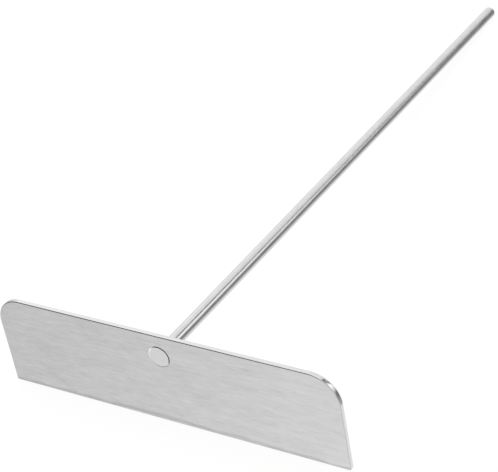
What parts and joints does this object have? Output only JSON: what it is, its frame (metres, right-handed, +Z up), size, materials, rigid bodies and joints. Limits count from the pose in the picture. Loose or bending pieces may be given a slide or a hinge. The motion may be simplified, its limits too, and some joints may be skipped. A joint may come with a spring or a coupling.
{
  "type": "crepe spreader",
  "caption": "flat stainless steel blade with rounded top corners and a straight round rod riveted square through it, for spreading batter on a crepe plate",
  "frame": {"origin": "on the surface that the spreader lies on, under the middle of its box", "axes": "+X along the blade's length, +Y level and away from the blade on the rod's side, +Z up; the blade leans 5.7 degrees towards +Y, because the spreader lies on its working edge and on the tip of its rod"},
  "size_m": [0.178, 0.337, 0.0469],
  "materials": {
    "blade_steel": "fine straight brushing along the blade, rims rounded and smooth",
    "rod_steel": "drawn round bar, satin, with a flat rivet head"
  },
  "bodies": {
    "root": {"blade": "blade_steel", "handle_rod": "rod_steel"}
  },
  "joints": []
}
